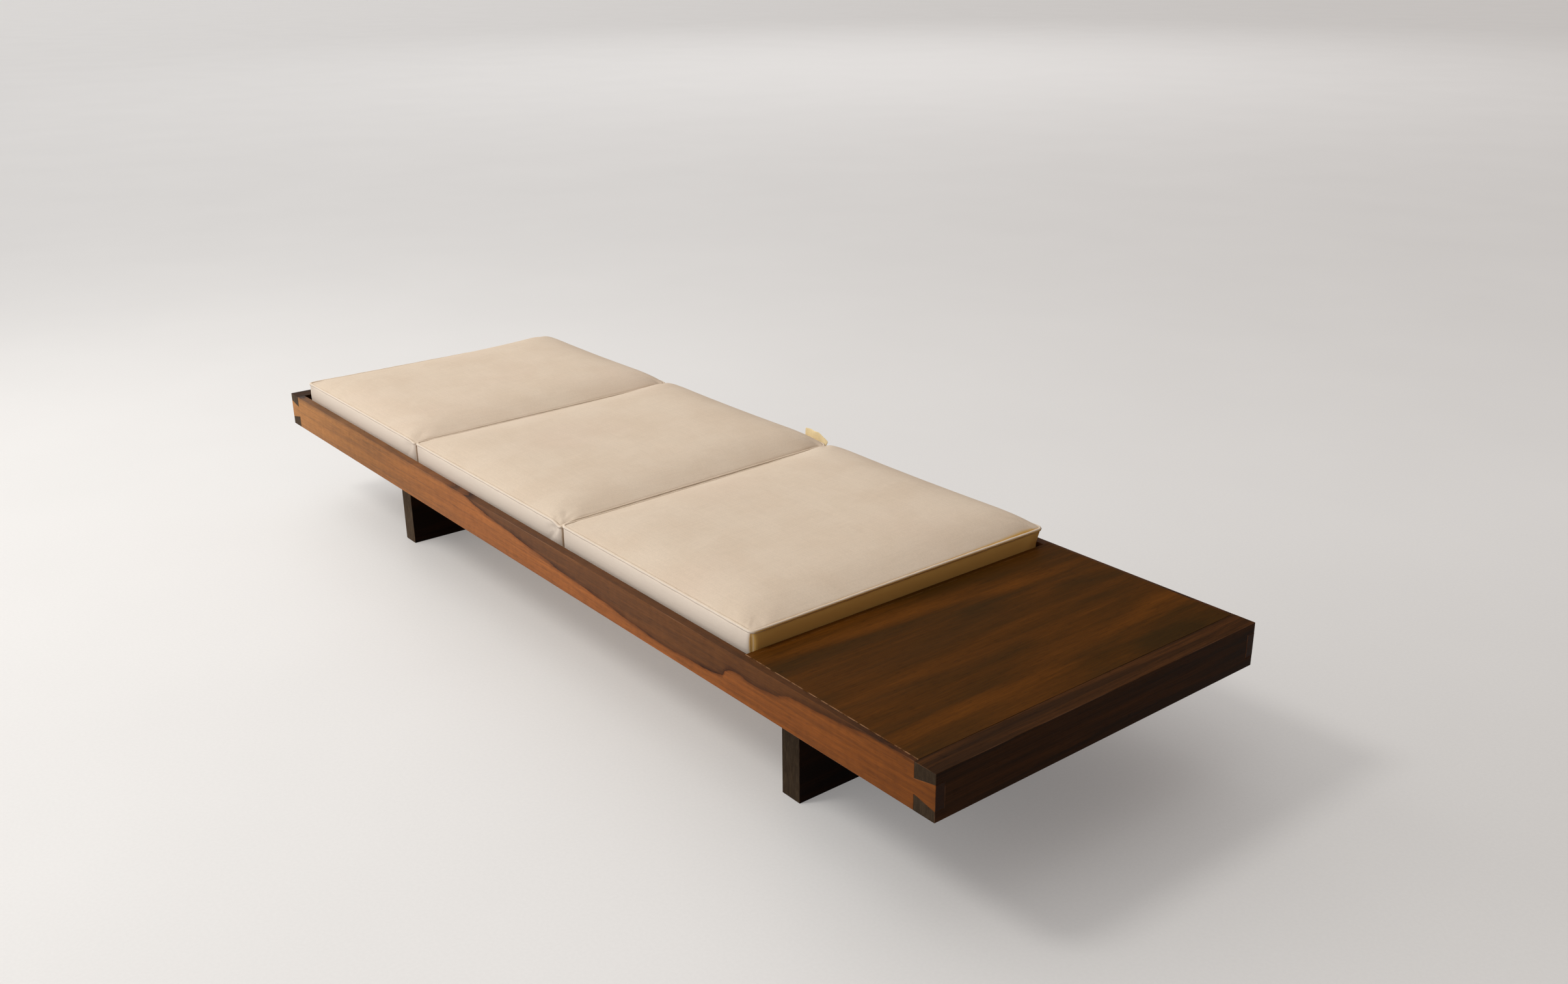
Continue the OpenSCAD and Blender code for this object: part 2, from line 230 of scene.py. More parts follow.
def rail_rosewood():
    """Grain along X: dark heartwood over light wood, with a line in places, redder to the table."""
    t = Tree("rail_rosewood", roughness=0.55, specular=0.06)
    x, _, z = t.axes(t.place)
    share = t.math("DIVIDE", t.math("ADD", x, FRAME_HALF_L), 2 * FRAME_HALF_L)
    curve = t.nodes.new("ShaderNodeFloatCurve")
    points = curve.mapping.curves[0].points
    while len(points) < len(GROWTH_LINE):
        points.new(0.5, 0.5)
    for point, (at, depth) in zip(points, GROWTH_LINE):
        point.location = (at / (2 * FRAME_HALF_L), depth)
    curve.mapping.update()
    t.put(curve.inputs["Value"], share)
    depth = t.math("DIVIDE", t.math("SUBTRACT", RAIL_TOP, z), RAIL_H)
    wobble = t.math("MULTIPLY", t.math("SUBTRACT", t.noise((11, 30, 110), 6.0, 0.62), 0.5), 0.16)
    below = t.total(t.math("SUBTRACT", depth, curve.outputs["Value"]), wobble)
    heart = t.remap(below, -0.5, 0.5, smooth=False)
    heart_brown, sap = (0.245, 0.122, 0.054), (0.49, 0.205, 0.068)
    soft = t.ramp(heart, (0.0, heart_brown), (0.38, (0.215, 0.106, 0.048)),
                  (0.49, (0.155, 0.072, 0.034)), (0.51, (0.30, 0.125, 0.046)),
                  (0.60, sap), (1.0, (0.46, 0.19, 0.063)))
    lined = t.ramp(heart, (0.0, heart_brown), (0.38, (0.205, 0.100, 0.045)),
                   (0.475, (0.120, 0.054, 0.026)), (0.496, (0.050, 0.020, 0.010)),
                   (0.508, (0.28, 0.11, 0.037)), (0.58, sap), (1.0, (0.46, 0.19, 0.063)))
    zones = t.mix(t.remap(t.noise((9, 5, 5), 2.0), 0.40, 0.62), soft, lined)
    redder = t.ramp(share, (0.0, (0.88, 0.96, 1.0)), (0.20, (0.62, 0.63, 0.62)),
                    (0.42, (0.70, 0.59, 0.52)), (0.62, (0.66, 0.52, 0.42)), (0.85, (0.46, 0.34, 0.21)),
                    (1.0, (0.33, 0.235, 0.11)))
    colour = t.mix(1.0, zones, redder, "MULTIPLY")
    bands = t.noise((2.6, 26, 80), 6.0, 0.65, 0.9)
    streaks = t.noise((22, 300, 520), 6.0, 0.72)
    ripple = t.noise((60, 9, 30), 4.0, 0.6)
    value = t.total(t.remap(bands, 0.3, 0.7, 0.40, 0.82), t.remap(streaks, 0.3, 0.7, 0.08, 0.34),
                    t.remap(ripple, 0.3, 0.7, 0.07, 0.18))
    colour = t.shade(colour, value)
    pores = wood_pores(t, "X")
    colour = t.shade(colour, t.remap(pores, 0, 1, 1.0, PORE_DARK))
    worn = t.math("MULTIPLY", t.worn_arris(), t.remap(t.noise((9, 40, 40), 5.0), 0.44, 0.66, 0.03, 0.40))
    colour = t.mix(worn, colour, WORN_RAIL)
    normal_x, _, normal_z = t.axes(t.normal)
    colour = t.shade(colour, t.remap(t.math("ABSOLUTE", normal_x), 0.7, 0.9, 1.0, 0.16))
    # Painted shade: faces that look up are painted darker, down to 0.66, against the extra light that
    # falls on the top.
    colour = t.shade(colour, t.remap(normal_z, 0.5, 0.9, 1.0, 0.66))
    rough = t.remap(bands, 0.3, 0.7, 0.42, 0.56)
    return t.finish(colour, t.bump(grain_height(t, streaks, pores), FINE_BUMP, 0.6), rough)


def end_rosewood(name, depth):
    """Planks with their grain along Y: broad faces whose colour is multiplied by the depth, and
    grey-brown end grain at front and back, paler towards the head end."""
    t = Tree(name, roughness=0.55, specular=0.03)
    bands = t.noise((26, 1.3, 30), 5.0, 0.6, 0.6)
    streaks = t.noise((520, 6, 560), 4.0, 0.6)
    face = t.ramp(bands, (0.25, (0.011, 0.0045, 0.0015)), (0.48, (0.020, 0.008, 0.0025)),
                  (0.60, (0.038, 0.014, 0.004)), (0.75, (0.060, 0.021, 0.006)))
    face = t.shade(face, t.remap(streaks, 0.3, 0.7, 0.75, 1.2))
    face = t.shade(face, t.remap(t.axes(t.normal)[2], 0.5, 0.9, depth, 1.6 * depth))
    pores = wood_pores(t, "Y")
    face = t.shade(face, t.remap(pores, 0, 1, 1.0, 0.5))
    rings = t.noise((150, 1, 34), 5.0, 0.6, 0.8)
    grey = t.ramp(rings, (0.3, (0.026, 0.016, 0.009)), (0.5, (0.036, 0.023, 0.013)),
                  (0.66, (0.049, 0.032, 0.018)), (0.8, (0.034, 0.021, 0.012)))
    grey = t.shade(grey, t.remap(t.axes(t.place)[0], -0.9, 0.9, 1.75, 1.05))
    specks = t.remap(t.noise((1500, 20, 1500), 1.0), 0.60, 0.70)
    grey = t.shade(grey, t.remap(specks, 0, 1, 1.0, 0.45))
    ends = t.remap(t.math("ABSOLUTE", t.axes(t.normal)[1]), 0.7, 0.9)
    colour = t.mix(ends, face, grey)
    worn = t.math("MULTIPLY", t.worn_arris(), t.remap(t.noise((40, 6, 40), 4.0), 0.42, 0.62, 0.1, 0.7))
    colour = t.mix(worn, colour, WORN_END)
    ring_height = t.math("MULTIPLY", t.math("MULTIPLY", ends, rings), 1.5)
    height = t.math("ADD", grain_height(t, streaks, pores), ring_height)
    rough = t.remap(bands, 0.3, 0.7, 0.45, 0.6)
    return t.finish(colour, t.bump(height, FINE_BUMP, 0.6), rough)


def front_edge(node):
    """Where a panel's straight front edge is: its Y at X = 0, and its slope."""
    corners = [v.co for v in NODES[node].data.vertices if v.co.y < 0]
    a, b = min(corners, key=lambda co: co.x), max(corners, key=lambda co: co.x)
    slope = (b.y - a.y) / (b.x - a.x)
    return a.y - slope * a.x, slope


def table_rosewood():
    """Veneer with its grain along Y: soft dark bands with orange streaks between them."""
    t = Tree("table_rosewood", roughness=0.55, specular=0.03)
    broad = t.noise((10, 1.6, 4), 3.0, 0.5, 0.7)
    bands = t.noise((42, 2.4, 20), 5.0, 0.6, 0.5)
    streaks = t.noise((520, 16, 300), 4.0, 0.65)
    mixed = t.total(t.math("MULTIPLY", broad, 0.70), t.math("MULTIPLY", bands, 0.30))
    colour = t.ramp(mixed, (0.34, (0.033, 0.0150, 0.0018)), (0.47, (0.053, 0.0195, 0.0020)),
                    (0.56, (0.076, 0.0255, 0.0026)), (0.66, (0.108, 0.0350, 0.0036)))
    colour = t.shade(colour, t.remap(streaks, 0.3, 0.7, 0.86, 1.14))
    pores = wood_pores(t, "Y")
    colour = t.shade(colour, t.remap(pores, 0, 1, 1.0, PORE_DARK))
    x, y, _ = t.axes(t.place)
    y_at_start, slope = front_edge("table_veneer")
    inwards = t.math("SUBTRACT", t.math("SUBTRACT", y, y_at_start), t.math("MULTIPLY", x, slope))
    edge_line = t.remap(inwards, 0.0006, 0.0020, 1.0, 0.0)
    worn = t.math("MAXIMUM", t.math("MULTIPLY", t.worn_arris(), 0.35), edge_line)
    worn = t.math("MULTIPLY", worn, t.remap(t.noise((70, 70, 30), 5.0, 0.6), 0.38, 0.60, 0.05, 0.95))
    colour = t.mix(worn, colour, WORN_VENEER)
    rough = t.remap(broad, 0.3, 0.7, 0.46, 0.58)
    return t.finish(colour, t.bump(grain_height(t, streaks, pores), VENEER_BUMP, 0.5), rough)


def pale_hardwood(name, axis):
    """The unseen working wood: slats, bearers, ledgers, cleats and the table's core."""
    t = Tree(name, roughness=0.62, specular=0.25)
    bands = t.noise(along(axis, 1.5, 38), 5.0, 0.6, 0.5)
    streaks = t.noise(along(axis, 7, 560), 4.0, 0.6)
    colour = t.ramp(bands, (0.3, (0.40, 0.245, 0.125)), (0.5, (0.50, 0.325, 0.175)),
                    (0.7, (0.60, 0.41, 0.235)))
    colour = t.shade(colour, t.remap(streaks, 0.3, 0.7, 0.88, 1.08))
    pores = wood_pores(t, axis)
    colour = t.shade(colour, t.remap(pores, 0, 1, 1.0, 0.72))
    colour = t.mix(t.math("MULTIPLY", t.worn_arris(), 0.4), colour, (0.68, 0.50, 0.32))
    rough = t.remap(bands, 0.3, 0.7, 0.55, 0.7)
    return t.finish(colour, t.bump(grain_height(t, streaks, pores), 0.0002, 0.6), rough)


def screw_steel():
    t = Tree("screw_steel", roughness=0.35, specular=0.5)
    t.bsdf.inputs["Metallic"].default_value = 1.0
    tarnish = t.noise((300, 300, 300), 3.0)
    colour = t.ramp(tarnish, (0.3, (0.33, 0.31, 0.28)), (0.7, (0.58, 0.57, 0.55)))
    return t.finish(colour, t.bump(t.noise((1500, 1500, 1500), 2.0), 0.0001, 0.4),
                    t.remap(tarnish, 0.3, 0.7, 0.5, 0.3))


WEAVE_PITCH = 0.0009                     # metres between the canvas's threads
# Painted light: the canvas is painted lighter and cooler on faces towards the window, and a dark warm gold
# on the end that faces the table, for its shade and the table's warm reflection.
FRONT_PAINTED_LIGHT, END_PAINTED_SHADE = (0.715, 0.630, 0.545), (0.74, 0.46, 0.130)
END_SHADE_X = (0.70, 0.75)                  # X where the painted shade on that end begins and is full


def canvas(name="canvas", light=(0.665, 0.555, 0.437), dark=(0.635, 0.52, 0.402), painted_light=(0.45, 0.80)):
    """Plain canvas: threads both ways, slubs, and a faint mottling. Faces towards the window are painted
    lighter, and beside the table it is painted a dark warm gold for shade and the table's warm reflection,
    as its normal along X goes from the first of the painted_light shares to the second."""
    t = Tree(name, roughness=0.9, specular=0.06)
    t.bsdf.inputs["Sheen Weight"].default_value = 0.04
    t.bsdf.inputs["Sheen Roughness"].default_value = 0.5
    threads = [t.math("SINE", t.math("MULTIPLY", a, 2 * math.pi / WEAVE_PITCH)) for a in t.axes(t.place)]
    x, y, z = (t.math("ABSOLUTE", a) for a in threads)
    weave = t.total(x, y, z)
    slubs = t.total(t.noise((14, 500, 500), 2.0), t.noise((500, 14, 500), 2.0))
    fuzz = t.noise((420, 420, 420), 3.0, 0.7)
    mottle = t.noise((8.5, 8.5, 8.5), 5.0, 0.6, 0.3)
    blush = t.noise((3.1, 2.6, 3.3), 2.0)
    colour = t.mix(t.remap(mottle, 0.32, 0.68), dark, light)
    colour = t.mix(t.remap(blush, 0.45, 0.75, 0.0, 0.30), colour, (0.665, 0.528, 0.425))
    colour = t.shade(colour, t.remap(fuzz, 0.25, 0.75, 0.95, 1.04))
    colour = t.shade(colour, t.remap(slubs, 0.8, 1.2, 0.97, 1.02))
    if painted_light:
        side_x, side_y, _ = t.axes(t.normal)
        # Painted light: faces towards the window are painted lighter and cooler.
        colour = t.mix(t.remap(side_y, -0.5, -0.95, 0.0, 0.8), colour, FRONT_PAINTED_LIGHT)
        # Painted shade: on the end that faces the table the canvas is painted a dark warm gold, for its
        # shade and the table's warm reflection.
        end_shade_along_x = t.remap(t.axes(t.place)[0], *END_SHADE_X)
        colour = t.mix(t.math("MULTIPLY", t.remap(side_x, *painted_light), end_shade_along_x), colour, END_PAINTED_SHADE)
    fine = t.bump(weave, 0.00012, 0.22)
    soft = t.bump(t.total(slubs, fuzz, fuzz), 0.0003, 0.35, fine)
    return t.finish(colour, soft)


def thread(name, colour):
    t = Tree(name, roughness=0.7, specular=0.25)
    twist = t.noise((900, 900, 900), 2.0)
    return t.finish(t.shade(colour, t.remap(twist, 0.3, 0.7, 0.75, 1.15)), t.bump(twist, 0.0001, 0.5))


def zip_brass():
    t = Tree("zip_brass", roughness=0.4, specular=0.5)
    t.bsdf.inputs["Metallic"].default_value = 1.0
    dull = t.noise((260, 260, 260), 3.0)
    colour = t.ramp(dull, (0.3, (0.36, 0.27, 0.14)), (0.7, (0.58, 0.46, 0.25)))
    return t.finish(colour, t.bump(dull, 0.0001, 0.4), t.remap(dull, 0.3, 0.7, 0.55, 0.35))


FLOOR_SIZE = 160                         # metres
FLOOR_GLOW = (0.201, 0.200, 0.200)       # light of its own, which keeps the shadows soft and pale
# Where the glow is stronger, far behind the daybed, and weaker, beside the table: centre, radius, change.
GLOW_SPOTS = (((-10.9, 11.8), 13.0, 0.72), ((2.1, 0.8), 2.0, -0.35))


def make_floor():
    bpy.ops.mesh.primitive_plane_add(size=FLOOR_SIZE)
    floor = bpy.context.object
    floor.name = "floor"
    t = Tree("floor", roughness=0.5, specular=0.35)
    clouds = t.noise((1.3, 1.3, 1.3), 4.0, 0.5)
    grit = t.noise((160, 160, 160), 2.0)
    colour = t.ramp(clouds, (0.3, (0.555, 0.545, 0.530)), (0.7, (0.575, 0.565, 0.550)))
    colour = t.shade(colour, t.remap(grit, 0.3, 0.7, 0.985, 1.01))
    t.bsdf.inputs["Emission Color"].default_value = (*FLOOR_GLOW, 1)
    x, y, _ = t.axes(t.place)
    strength = 1.0
    for centre, reach, change in GLOW_SPOTS:
        aside = [t.math("SUBTRACT", a, at) for a, at in zip((x, y), centre)]
        away = t.math("SQRT", t.total(*(t.math("MULTIPLY", a, a) for a in aside)))
        strength = t.math("ADD", strength, t.remap(away, 0.0, reach, change, 0.0))
    t.put(t.bsdf.inputs["Emission Strength"], strength)
    floor.data.materials.append(t.finish(colour))


# ---- light: a broad window towards the front of the head end, and a dim warm room at the other ----

SKY_SIDE = Vector((-0.62, -0.50, 0.60)).normalized()
SKY_FROM, SKY_TO = -0.10, 0.80           # where the window's glow begins and is full, as a cosine
SKY_DIM, SKY_BRIGHT = (0.095, 0.042, 0.016), (1.12, 1.11, 1.10)
SKY_SEEN = (0.60, 0.585, 0.565)          # the plain backdrop above the floor's far edge
# Each lamp: name, place, target, diameter, watts.
LAMPS = (("window", (-0.95, -3.55, 4.8), (0.2, 0.0, 0.2), 1.3, 105),
         ("head_fill", (-2.7, -1.3, 2.6), (-0.9, 0.0, 0.3), 2.4, 25))
LAMP_COLOUR = (1.0, 0.985, 0.955)


def make_world():
    world = bpy.data.worlds.new("world")
    world.use_nodes = True
    nodes, links = world.node_tree.nodes, world.node_tree.links
    towards = nodes.new("ShaderNodeVectorMath")
    towards.operation = "DOT_PRODUCT"
    links.new(nodes.new("ShaderNodeTexCoord").outputs["Generated"], towards.inputs[0])
    towards.inputs[1].default_value = SKY_SIDE
    glow = nodes.new("ShaderNodeMapRange")
    glow.interpolation_type, glow.data_type = "SMOOTHSTEP", "FLOAT_VECTOR"
    limits = (("From_Min_FLOAT3", [SKY_FROM] * 3), ("From_Max_FLOAT3", [SKY_TO] * 3),
              ("To_Min_FLOAT3", SKY_DIM), ("To_Max_FLOAT3", SKY_BRIGHT))
    of_glow = by_identifier(glow.inputs)
    for key, value in limits:
        of_glow[key].default_value = value
    links.new(towards.outputs["Value"], of_glow["Vector"])
    seen = nodes.new("ShaderNodeMix")
    seen.data_type = "RGBA"
    of_seen = by_identifier(seen.inputs)
    is_camera = nodes.new("ShaderNodeLightPath").outputs["Is Camera Ray"]
    links.new(is_camera, of_seen["Factor_Float"])
    links.new(glow.outputs["Vector"], of_seen["A_Color"])
    of_seen["B_Color"].default_value = (*SKY_SEEN, 1)
    links.new(by_identifier(seen.outputs)["Result_Color"], nodes["Background"].inputs["Color"])
    bpy.context.scene.world = world


def make_lamps():
    for name, place, target, diameter, power in LAMPS:
        data = bpy.data.lights.new(name, "AREA")
        data.shape, data.size = "DISK", diameter
        data.energy, data.color = power, LAMP_COLOUR
        o = bpy.data.objects.new(name, data)
        o.location = place
        o.rotation_euler = (Vector(target) - Vector(place)).to_track_quat("-Z", "Y").to_euler()
        bpy.context.scene.collection.objects.link(o)


# ---- wooden nodes: eased edges and their materials ----

EASED, EASED_STEPS = 0.0009, 2           # radius of the eased edges, in metres, and its facets
SHARP_EDGE = 40                          # degrees between two faces from which their edge is eased
WELD_REACH = 0.00002


def ease_edges(o):
    """Joins the node's split corners and rounds its sharp edges."""
    weld = o.modifiers.new("weld", "WELD")
    weld.merge_threshold = WELD_REACH
    bevel = o.modifiers.new("eased_edges", "BEVEL")
    bevel.width, bevel.segments = EASED, EASED_STEPS
    bevel.limit_method, bevel.angle_limit = "ANGLE", math.radians(SHARP_EDGE)
    bevel.use_clamp_overlap = True


def clothe(node, material):
    materials = NODES[node].data.materials
    materials.clear()
    materials.append(material)


def finish_wood():
    rail, table = rail_rosewood(), table_rosewood()
    end, leg = end_rosewood("end_rosewood", 1.0), end_rosewood("leg_rosewood", 0.25)
    by_axis = {axis: pale_hardwood("pale_hardwood_" + axis.lower(), axis) for axis in "XY"}
    steel = screw_steel()
    for name in NODES:
        if name.startswith("cushion_"):
            continue
        if name.endswith("_screws"):
            clothe(name, steel)
        elif name.startswith("side_rail"):
            clothe(name, rail)
        elif name in ("leg_head", "leg_table"):
            clothe(name, leg)
        elif name.startswith(("end_rail", "cross_rail", "tenon_wedges")):
            clothe(name, end)
        elif name in ("table_veneer", "table_backing_veneer", "table_lipping"):
            clothe(name, table)
        elif name.startswith("ledger") or name in ("table_cleat_front", "table_cleat_back"):
            clothe(name, by_axis["X"])
        else:
            clothe(name, by_axis["Y"])
        if not name.endswith(("_screws", "veneer", "table_core")):
            ease_edges(NODES[name])


# ---- cushions ----

CORNER_R, SQUASHED_R = 0.0105, 0.0040    # of a cushion's upright corners, and of one pressed flat
WELT_R = 0.0036                          # half the thickness of the piping
SEAM_INSET = 0.0014                      # of the seams from the CAD outline
BORDER_INSET = 0.0004                    # how far the border starts inside its seams
START_CROWN, CROWN_ROLL = 0.0075, 0.026  # the panel's rise before it is blown up, and how fast it rises
BACK_CROWN, BACK_ROLL = 3.4, 0.022       # its further rise towards the back, as a share, and how fast
BACK_FILL, BACK_LEAN = 0.005, 0.011      # how far the back comes out, and how much further its top does
RAIL_CLEAR = 0.003                       # how high above the back rail it begins to lean over it
ON_FACE = 0.0001                         # a vertex this near to a face of the CAD node is on it
START_LIFT, DECK_GAP = 0.0003, 0.0002    # of the underside above the CAD underside, at first and at least
NEIGHBOUR_GAP = 0.0002                   # kept inside the CAD outline where two cushions meet
EDGE_CELL, EDGE_CELLS, MID_CELL = 0.0035, 12, 0.012     # of the cloth's grid, by its sides and between
BORDER_ROWS = (0.04, 0.10, 0.18, 0.28, 0.39, 0.50, 0.61, 0.72, 0.82, 0.90, 0.96)  # from the top seam
ZIP_ROW = BORDER_ROWS.index(0.50) + 1    # the loop that runs along the zip
LEVEL_ROW = 5                            # the loop whose level direction out serves the whole border
FOAM_TOP, FOAM_SEAM, FOAM_BORDER = 0.06, 0.50, 0.06     # how strongly the foam holds the cloth
PRESSURE, CLOTH_QUALITY, CLOTH_MASS = 4.0, 5, 0.3
SIM_FRAMES, MOVE_CAP = 20, 0.024         # length of the simulation, and the farthest move it may make
# The piping's place from the seam, out on the long sides and on the ends, and up.
TOP_WELT_OUT, TOP_WELT_END_OUT, TOP_WELT_LIFT = -0.0022, -0.0010, -0.0014
BOTTOM_WELT_OUT, BOTTOM_WELT_LIFT = -0.0012, WELT_R
WELT_STEP = 0.005
# Its unevenness: share of its radius, radians per metre, start for each cushion's number.
WELT_WAVES = ((0.05, 61, 1), (0.04, 173, 0))
# Shapes of small turned parts: (share of the length, share of the radius).
STITCH_SHAPE = ((-1, 0.45), (-0.7, 0.9), (0, 1.0), (0.7, 0.9), (1, 0.45))
TOOTH_SHAPE = ((-1, 0.6), (-0.6, 1), (0.6, 1), (1, 0.6))
SLIDER_SHAPE = ((-0.5, 0.6), (-0.35, 1), (0.3, 0.9), (0.5, 0.5))
PULL_SHAPE = ((0, 0.5), (0.08, 1), (0.5, 1), (0.92, 1), (1, 0.6))
STITCH_PITCH, STITCH_L, STITCH_R, STITCH_PROUD = 0.0026, 0.0021, 0.0003, 0.0001
TAPE_W, TAPE_T, TAPE_SPARE = 0.015, 0.0008, 0.004       # the tape is longer than the teeth at each end
TAPE_STEP, TAPE_PROUD = 0.008, 0.0003
TOOTH_PITCH, TOOTH_L, TOOTH_R = 0.0024, 0.0032, 0.0009
SLIDER_L, SLIDER_R, SLIDER_FLAT = 0.011, 0.0030, 1.7
PULL_L, PULL_R, PULL_FLAT = 0.020, 0.0032, 0.3
SLIDER_TOOTH = -6                        # the tooth that the slider has stopped at
# How far the thread pulls the cloth in and up at the top seam and at the bottom seam.
SEAM_PULLS = ((0, 0.0026, -0.0026), (-1, 0.0016, 0.0014))
BESIDE_SEAM, GROOVE = 0.0008, 0.0008     # how far it sinks the cloth next to the top seam, and upright


def mesh_object(name, points, faces, material):
    mesh = bpy.data.meshes.new(name)
    mesh.from_pydata([tuple(p) for p in points], [], [tuple(int(i) for i in f) for f in faces])
    mesh.update()
    mesh.polygons.foreach_set("use_smooth", [True] * len(mesh.polygons))
    mesh.materials.append(material)
    o = bpy.data.objects.new(name, mesh)
    bpy.context.scene.collection.objects.link(o)
    return o


def rim_of(grid):
    """The indices around the edge of a grid, in order."""
    return np.concatenate([grid[:-1, 0], grid[-1, :-1], grid[:0:-1, -1], grid[0, :0:-1]])


def quads_of(grid):
    """The faces between the points of a grid."""
    return np.stack([grid[:-1, :-1], grid[1:, :-1], grid[1:, 1:], grid[:-1, 1:]], -1).reshape(-1, 4)


def graded(length):
    """Places along a side, close together near its ends and wider apart between."""
    edge = np.arange(EDGE_CELLS) * EDGE_CELL
    inner = length - 2 * EDGE_CELLS * EDGE_CELL
    middle = np.linspace(0, inner, round(inner / MID_CELL) + 1) + EDGE_CELLS * EDGE_CELL
    return np.concatenate([edge, middle, length - edge[::-1]])


def corner_discs(s, t, length, width, r):
    """Moves a rectangle's grid so that each corner square, of side r, becomes a quarter disc."""
    ds = np.sign(s - length / 2) * np.maximum(np.abs(s - length / 2) - (length / 2 - r), 0) / r
    dt = np.sign(t - width / 2) * np.maximum(np.abs(t - width / 2) - (width / 2 - r), 0) / r
    return s - r * ds * (1 - np.sqrt(1 - dt**2 / 2)), t - r * dt * (1 - np.sqrt(1 - ds**2 / 2))


